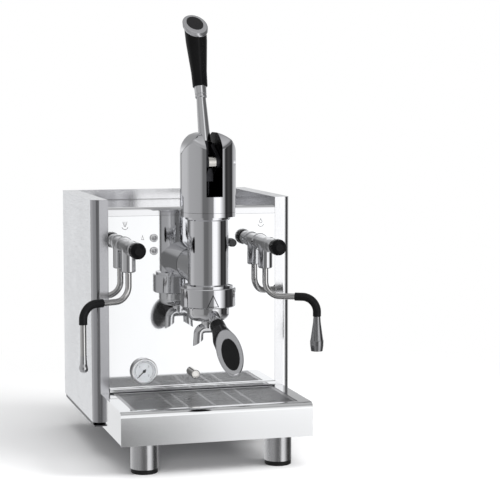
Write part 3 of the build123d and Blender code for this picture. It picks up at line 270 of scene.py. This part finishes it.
def darken_slot(material):
    """Painted shade: the walls of the lever housing's slot, which lie nearer its axis than the polished
    outside, are given a dark, matt colour for the shadow inside the slot.
    """
    wall_margin, fork_margin = 1.2 * MM, 1.1 * MM
    # Painted shade inside the slot: a dark colour and a rougher finish on its walls.
    slot_shade_tone, wall_rough = (0.012, 0.012, 0.013), 0.5
    wall_reach = (housing_high[0] - housing_low[0]) / 2.0 - wall_margin
    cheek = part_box("lever_fork")[1][0] + fork_margin
    graph = Graph(material.node_tree, keep=True)
    shader = graph.tree.nodes["Principled BSDF"]
    across, along, _ = graph.axes(graph.where())
    aside = graph.math("ABSOLUTE", across)
    behind = graph.math("SUBTRACT", along, axis_y)
    from_axis = graph.math("SQRT", graph.math("ADD", graph.math("MULTIPLY", aside, aside),
                                              graph.math("MULTIPLY", behind, behind)))
    wall = graph.math("MULTIPLY", graph.math("LESS_THAN", aside, cheek),
                      graph.math("LESS_THAN", from_axis, wall_reach))
    polished = shader.inputs["Base Color"].links[0].from_socket
    # The painted slot shade takes the place of the polished colour on the walls.
    graph.feed(shader.inputs["Base Color"], graph.mix(wall, polished, slot_shade_tone))
    gloss = shader.inputs["Roughness"].links[0].from_socket
    matt = graph.math("MULTIPLY", wall, wall_rough)
    graph.feed(shader.inputs["Roughness"], graph.math("MAXIMUM", gloss, matt))


def tone_columns(material):
    """Painted reflection on the front columns: a flat tone stands in for what they reflect, the left one
    painted darker than the right one.
    """
    column_depth, fade_depth = 10.0 * MM, 3.0 * MM
    # Painted reflection tones: darker on the left column, lighter on the right one.
    left_painted_reflection, right_painted_reflection = (0.58, 0.58, 0.60), (0.90, 0.90, 0.91)
    column_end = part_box("left_side_panel")[0][1] + column_depth
    graph = Graph(material.node_tree, keep=True)
    shader = graph.tree.nodes["Principled BSDF"]
    across, along, _ = graph.axes(graph.where())
    on_column = graph.span(along, column_end, column_end + fade_depth, 1.0, 0.0)
    # The painted reflection tone, chosen by side.
    tone = graph.mix(graph.math("LESS_THAN", across, 0.0), right_painted_reflection, left_painted_reflection)
    sheet = shader.inputs["Base Color"].links[0].from_socket
    graph.feed(shader.inputs["Base Color"], graph.mix(on_column, sheet, tone))


# Painted shade inside the lever housing's slot.
darken_slot(materials["housing_chrome"])
# Painted reflections on the front columns.
tone_columns(materials["side_sheet"])
for name, obj in nodes.items():
    obj.data.materials.clear()
    obj.data.materials.append(materials[slot_of[name]])


def add_object(name, data, material=None):
    obj = bpy.data.objects.new(name, data)
    scene.collection.objects.link(obj)
    if material is not None:
        data.materials.append(material)
    return obj


# === The spring: a copy of the CAD spring, carried by the plunger, with a mesh of its own ===========

spring = add_object("spring_coil", nodes["main_spring"].data.copy())
spring.matrix_world = nodes["main_spring"].matrix_world
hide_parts("main_spring")
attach(spring, "plunger")
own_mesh(spring)


# === Marks on the surfaces ==========================================================================

SHARPEST = 0.4                          # a corner's miter grows no further than at this cosine


def lines(name, paths, width, surface, thick=0.03 * MM):
    """Thin flat bars along 2-D paths, laid on a surface: a function of (across, up, height above it)."""
    mesh = bmesh.new()
    for path, closed in paths:
        points = [Vector(point) for point in path]
        rows = []
        for index, point in enumerate(points):
            ways = []
            if closed or index:
                ways.append((point - points[index - 1]).normalized())
            if closed or index < len(points) - 1:
                ways.append((points[(index + 1) % len(points)] - point).normalized())
            way = sum(ways, Vector((0.0, 0.0))).normalized()
            across = Vector((-way.y, way.x))
            miter = max(SHARPEST, across.dot(Vector((-ways[0].y, ways[0].x))))
            shift = across * (width / 2.0 / miter)
            one, other = point + shift, point - shift
            ring = ((one, 0.0), (other, 0.0), (other, thick), (one, thick))
            rows.append([mesh.verts.new(surface(spot.x, spot.y, rise)) for spot, rise in ring])
        for index in range(len(rows) if closed else len(rows) - 1):
            here, there = rows[index], rows[(index + 1) % len(rows)]
            for side in range(4):
                after = (side + 1) % 4
                mesh.faces.new((here[side], here[after], there[after], there[side]))
        if not closed:
            mesh.faces.new(rows[0][::-1])
            mesh.faces.new(rows[-1])
    bmesh.ops.recalc_face_normals(mesh, faces=mesh.faces)
    data = bpy.data.meshes.new(name)
    mesh.to_mesh(data)
    mesh.free()
    made = add_object(name, data, ink)
    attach(made, "machine")


def arc(centre, radius, start, end, steps=12):
    """Points on a circle between two angles in degrees."""
    turns = [radians(start + (end - start) * step / steps) for step in range(steps + 1)]
    return [(centre[0] + radius * cos(turn), centre[1] + radius * sin(turn)) for turn in turns]


def edge_points(corners, steps=6):
    """The corners of a closed outline with points added along its sides."""
    return [tuple(a + (b - a) * step / steps for a, b in zip(corner, corners[(index + 1) % len(corners)]))
            for index, corner in enumerate(corners) for step in range(steps)]


def middle(node):
    low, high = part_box(node)
    return [(a + b) / 2.0 for a, b in zip(low, high)]


# The alignment triangle on the bell.
bell_low, bell_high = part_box("group_body")
bell_radius = (bell_high[0] - bell_low[0]) / 2.0
bell_axis = bell_low[1] + bell_radius
TRIANGLE_LEFT, TRIANGLE_RIGHT, TRIANGLE_TIP = -11.5 * MM, 5.5 * MM, -3.0 * MM
TRIANGLE_FOOT, TRIANGLE_HEIGHT, TRIANGLE_LINE = 3.6 * MM, 18.0 * MM, 1.3 * MM


def on_bell(across, up, rise):
    turn = across / bell_radius
    return ((bell_radius + rise) * sin(turn), bell_axis - (bell_radius + rise) * cos(turn), up)


foot = bell_low[2] + TRIANGLE_FOOT
aligner = edge_points([(TRIANGLE_LEFT, foot), (TRIANGLE_RIGHT, foot), (TRIANGLE_TIP, foot + TRIANGLE_HEIGHT)])
lines("bell_triangle", [(aligner, True)], TRIANGLE_LINE, on_bell)

# Plain signs on the front panel: steam and water above their valves, heat to the left of the lamps.
panel_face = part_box("cup_tray")[0][1]
valve_z = middle("steam_valve_knob")[2]
SIGN_SHIFT, SIGN_RISE, SIGN_LINE = 1.6 * MM, 31.0 * MM, 0.7 * MM
BOWL_RADIUS, BOWL_DROP, BOWL_ENDS = 5.0 * MM, 1.0 * MM, (195, 345)
PLUME_WIDE, PLUME_NARROW = 3.4 * MM, 1.0 * MM
PLUME_TOP, PLUME_FOOT = 6.5 * MM, -1.5 * MM
DROP_RADIUS, DROP_RISE, DROP_TIP, DROP_ENDS = 2.2 * MM, 2.0 * MM, 6.8 * MM, (150, 390)
HEAT_SHIFT, HEAT_HALF, HEAT_LINE = 18.3 * MM, 1.8 * MM, 0.6 * MM
HEAT_FOOT, HEAT_TIP = 8.0 * MM, 15.0 * MM


def on_panel(across, up, rise):
    return (across, panel_face - rise, up)


def bowl(x, z):
    return arc((x, z - BOWL_DROP), BOWL_RADIUS, *BOWL_ENDS), False


sign_z = valve_z + SIGN_RISE
steam_x = middle("steam_valve_knob")[0] + SIGN_SHIFT
plume = [([(steam_x + side * PLUME_WIDE, sign_z + PLUME_TOP),
           (steam_x + side * PLUME_NARROW, sign_z + PLUME_FOOT)], False) for side in (-1, 0, 1)]
lines("steam_icon", plume + [bowl(steam_x, sign_z)], SIGN_LINE, on_panel)
water_x = middle("water_valve_knob")[0] + SIGN_SHIFT
drop = arc((water_x, sign_z + DROP_RISE), DROP_RADIUS, *DROP_ENDS) + [(water_x, sign_z + DROP_TIP)]
lines("water_icon", [(drop, True), bowl(water_x, sign_z)], SIGN_LINE, on_panel)
heat_x = middle("lamp_power")[0] - HEAT_SHIFT
heat = [(heat_x - HEAT_HALF, valve_z + HEAT_FOOT), (heat_x + HEAT_HALF, valve_z + HEAT_FOOT),
        (heat_x, valve_z + HEAT_TIP)]
lines("heat_icon", [(heat, True)], HEAT_LINE, on_panel)

# The gauge's scale and numbers; places along the radius are shares of the dial's own.
dial = middle("gauge_face")
dial_low, dial_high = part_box("gauge_face")
dial_radius = (dial_high[0] - dial_low[0]) / 2.0
ZERO_ANGLE, FULL_ANGLE = 225.0, -45.0
DIVISIONS, LONG_EVERY, LAST_NUMBER, RIM_STEPS = 30, 5, 3, 48
TICK_END, TICK_START, LONG_START, NUMBERS_AT = 0.94, 0.86, 0.80, 0.58
SCALE_LINE, SCALE_THICK = 0.35 * MM, 0.02 * MM
NUMBER_SIZE, NUMBER_HALF, NUMBER_RISE = 4.4 * MM, 0.01 * MM, 0.015 * MM


def on_dial(across, up, rise):
    return (dial[0] + across, dial_low[1] - rise, dial[2] + up)


def around_dial(share, reach):
    """The point at a share of the scale's sweep and a share of the dial's radius."""
    turn = radians(ZERO_ANGLE + (FULL_ANGLE - ZERO_ANGLE) * share)
    return (reach * dial_radius * cos(turn), reach * dial_radius * sin(turn))


ticks = [([around_dial(step / DIVISIONS, TICK_START if step % LONG_EVERY else LONG_START),
           around_dial(step / DIVISIONS, TICK_END)], False) for step in range(DIVISIONS + 1)]
ticks.append((arc((0, 0), LONG_START * dial_radius, ZERO_ANGLE, FULL_ANGLE, RIM_STEPS), False))
lines("dial_scale", ticks, SCALE_LINE, on_dial, SCALE_THICK)
for number in range(LAST_NUMBER + 1):
    letter = bpy.data.curves.new(f"dial_{number}", "FONT")
    letter.body = str(number)
    letter.size = NUMBER_SIZE
    letter.align_x = "CENTER"
    letter.align_y = "CENTER"
    letter.extrude = NUMBER_HALF
    stencil = add_object(f"stencil_{number}", letter)
    shape = bpy.data.meshes.new_from_object(stencil.evaluated_get(bpy.context.evaluated_depsgraph_get()))
    bpy.data.objects.remove(stencil)
    shape.materials.clear()
    figure = add_object(f"dial_number_{number}", shape, ink)
    figure.rotation_euler = (pi / 2.0, 0.0, 0.0)
    figure.location = on_dial(*around_dial(number / LAST_NUMBER, NUMBERS_AT), NUMBER_RISE)
    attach(figure, "machine")

# === Studio =========================================================================================

FLOOR_REACH = 14.0
FADE_NEAR, FADE_FAR = 0.35, 1.1          # distances between which the floor turns from lit paper to white


def make_floor():
    """A plain pale paper floor, which fades to white with distance so that no horizon shows."""
    mesh = bpy.data.meshes.new("floor")
    corners = [(-FLOOR_REACH, -FLOOR_REACH, 0), (FLOOR_REACH, -FLOOR_REACH, 0),
               (FLOOR_REACH, FLOOR_REACH, 0), (-FLOOR_REACH, FLOOR_REACH, 0)]
    mesh.from_pydata(corners, [], [(0, 1, 2, 3)])
    paper, graph, shader = new_material("floor_paper")
    tone = graph.mix(graph.noise(1.3), (0.93, 0.93, 0.93), (0.91, 0.91, 0.915))
    graph.feed(shader.inputs["Base Color"], tone)
    shader.inputs["Roughness"].default_value = 0.9
    shader.inputs["Specular IOR Level"].default_value = 0.1
    graph.feed(shader.inputs["Normal"], graph.bump(graph.noise(260.0), 0.15, 0.2 * MM))
    far = graph.node("VectorMath", operation="LENGTH")
    graph.feed(far.inputs[0], graph.where())
    glow = graph.node("Emission")
    glow.inputs["Color"].default_value = (1.0, 1.0, 1.0, 1.0)
    fade = graph.node("MixShader")
    graph.feed(fade.inputs[0], graph.span(far.outputs["Value"], FADE_NEAR, FADE_FAR, smooth=True))
    graph.feed(fade.inputs[1], shader.outputs[0])
    graph.feed(fade.inputs[2], glow.outputs[0])
    graph.feed(graph.tree.nodes["Material Output"].inputs["Surface"], fade.outputs[0])
    floor = add_object("floor", mesh, paper)
    floor.visible_glossy = False


make_floor()

# Tones of the studio as (degrees from straight in front towards +X, tone): its walls, what is near the
# floor, and what is above the walls. The ceiling's tones go by height, from 0 level to 1 overhead.
WALLS = [(-180, 0.92), (-168, 0.90), (-165, 0.14), (-158, 0.14), (-153, 0.55), (-136, 0.60),
         (-110, 0.58), (-95, 0.44), (-47, 0.40), (-40, 0.34), (-35, 0.17), (-16, 0.16), (-6, 0.24),
         (8.2, 0.28), (10.6, 1.05), (20, 1.25), (36, 1.25), (46, 0.80), (57, 0.38), (64, 0.02),
         (80, 0.06), (103, 0.03), (112, 0.45), (130, 0.60), (150, 0.62), (166, 0.80), (180, 0.92)]
NEAR_FLOOR = [(-180, 0.85), (-150, 0.80), (-110, 0.50), (-47, 0.35), (-16, 0.16), (6, 0.14), (11, 0.18),
              (13, 0.42), (15.5, 0.88), (20, 1.0), (40, 1.0), (60, 0.4), (75, 0.06), (110, 0.06),
              (150, 0.4), (180, 0.85)]
UPPER = [(-180, 0.34), (-100, 0.36), (-50, 0.44), (-16, 0.40), (-2, 0.50), (6, 1.0), (18, 1.0), (26, 0.35),
         (45, 0.16), (110, 0.14), (150, 0.30), (180, 0.34)]
CEILING = [(0.0, 0.34), (0.5, 0.36), (0.8, 0.5), (1.0, 0.75)]
BELOW_TONE = (0.55, 0.55, 0.56)
# Heights in degrees at which one band gives way to the next.
WALLS_FROM, UPPER_FROM, CEILING_FROM = (-11.6, -10.6), (6.0, 14.0), (38.0, 56.0)
BELOW_FROM, BELOW_SHARE = (-40.0, -16.0), 0.45
STUDIO_TINT = (0.985, 0.99, 1.0)
WHITE = (1, 1, 1, 1)


def make_world():
    """Reflections and light come from the studio's bands; the camera itself sees plain white behind."""
    world = bpy.data.worlds.new("studio")
    scene.world = world
    world.use_nodes = True
    graph = Graph(world.node_tree)
    east, north, up = graph.axes(graph.node("TexCoord").outputs["Generated"])
    to_degrees = 180.0 / pi
    front = graph.math("MULTIPLY", north, -1.0)
    bearing = graph.math("MULTIPLY", graph.math("ARCTAN2", east, front), to_degrees)
    around = graph.span(bearing, -180.0, 180.0)
    height = graph.math("MULTIPLY", graph.math("ARCSINE", up), to_degrees)

    def by_bearing(stops):
        return graph.ramp(around, [((degrees + 180.0) / 360.0, tone) for degrees, tone in stops])

    room = graph.mix(graph.span(height, *WALLS_FROM), by_bearing(NEAR_FLOOR), by_bearing(WALLS))
    room = graph.mix(graph.span(height, *UPPER_FROM, smooth=True), room, by_bearing(UPPER))
    overhead = graph.ramp(graph.span(height, 0.0, 90.0), CEILING)
    room = graph.mix(graph.span(height, *CEILING_FROM, smooth=True), room, overhead)
    room = graph.mix(graph.span(height, *BELOW_FROM, BELOW_SHARE, 0.0), room, BELOW_TONE)
    lit = graph.node("Background")
    graph.feed(lit.inputs["Color"], graph.mix(1.0, room, STUDIO_TINT, "MULTIPLY"))
    seen = graph.node("Background")
    seen.inputs["Color"].default_value = WHITE
    choose = graph.node("MixShader")
    graph.feed(choose.inputs[0], graph.node("LightPath").outputs["Is Camera Ray"])
    graph.feed(choose.inputs[1], lit.outputs[0])
    graph.feed(choose.inputs[2], seen.outputs[0])
    graph.feed(graph.node("OutputWorld").inputs["Surface"], choose.outputs[0])


make_world()


def softbox(name, place, aim, size, power):
    data = bpy.data.lights.new(name, "AREA")
    data.shape = "RECTANGLE"
    data.size, data.size_y = size
    data.energy = power
    lamp = add_object(name, data)
    lamp.location = place
    lamp.rotation_euler = (Vector(aim) - Vector(place)).to_track_quat("-Z", "Y").to_euler()
    lamp.visible_glossy = False


softbox("key", (2.6, -1.7, 2.2), (0, 0, 0.1), (1.4, 1.4), 105.0)
softbox("top", (0.2, -0.4, 3.2), (0, 0, 0), (3.0, 3.0), 60.0)
softbox("fill", (-0.8, -3.2, 0.9), (0, 0, 0.1), (2.4, 1.2), 60.0)

CAMERA_PLACE = (-0.6312, -2.5444, 0.5872)
CAMERA_DOWN, CAMERA_TURN = 5.596, -16.035          # degrees below level, and about the vertical
LENS, SENSOR = 116.54, 36.0                        # in millimetres, as Blender takes them
camera_data = bpy.data.cameras.new("camera")
camera_data.sensor_width = SENSOR
camera_data.lens = LENS
camera = add_object("camera", camera_data)
camera.location = CAMERA_PLACE
camera.rotation_euler = (radians(90.0 - CAMERA_DOWN), 0.0, radians(CAMERA_TURN))
scene.camera = camera
scene.view_settings.view_transform = "Standard"
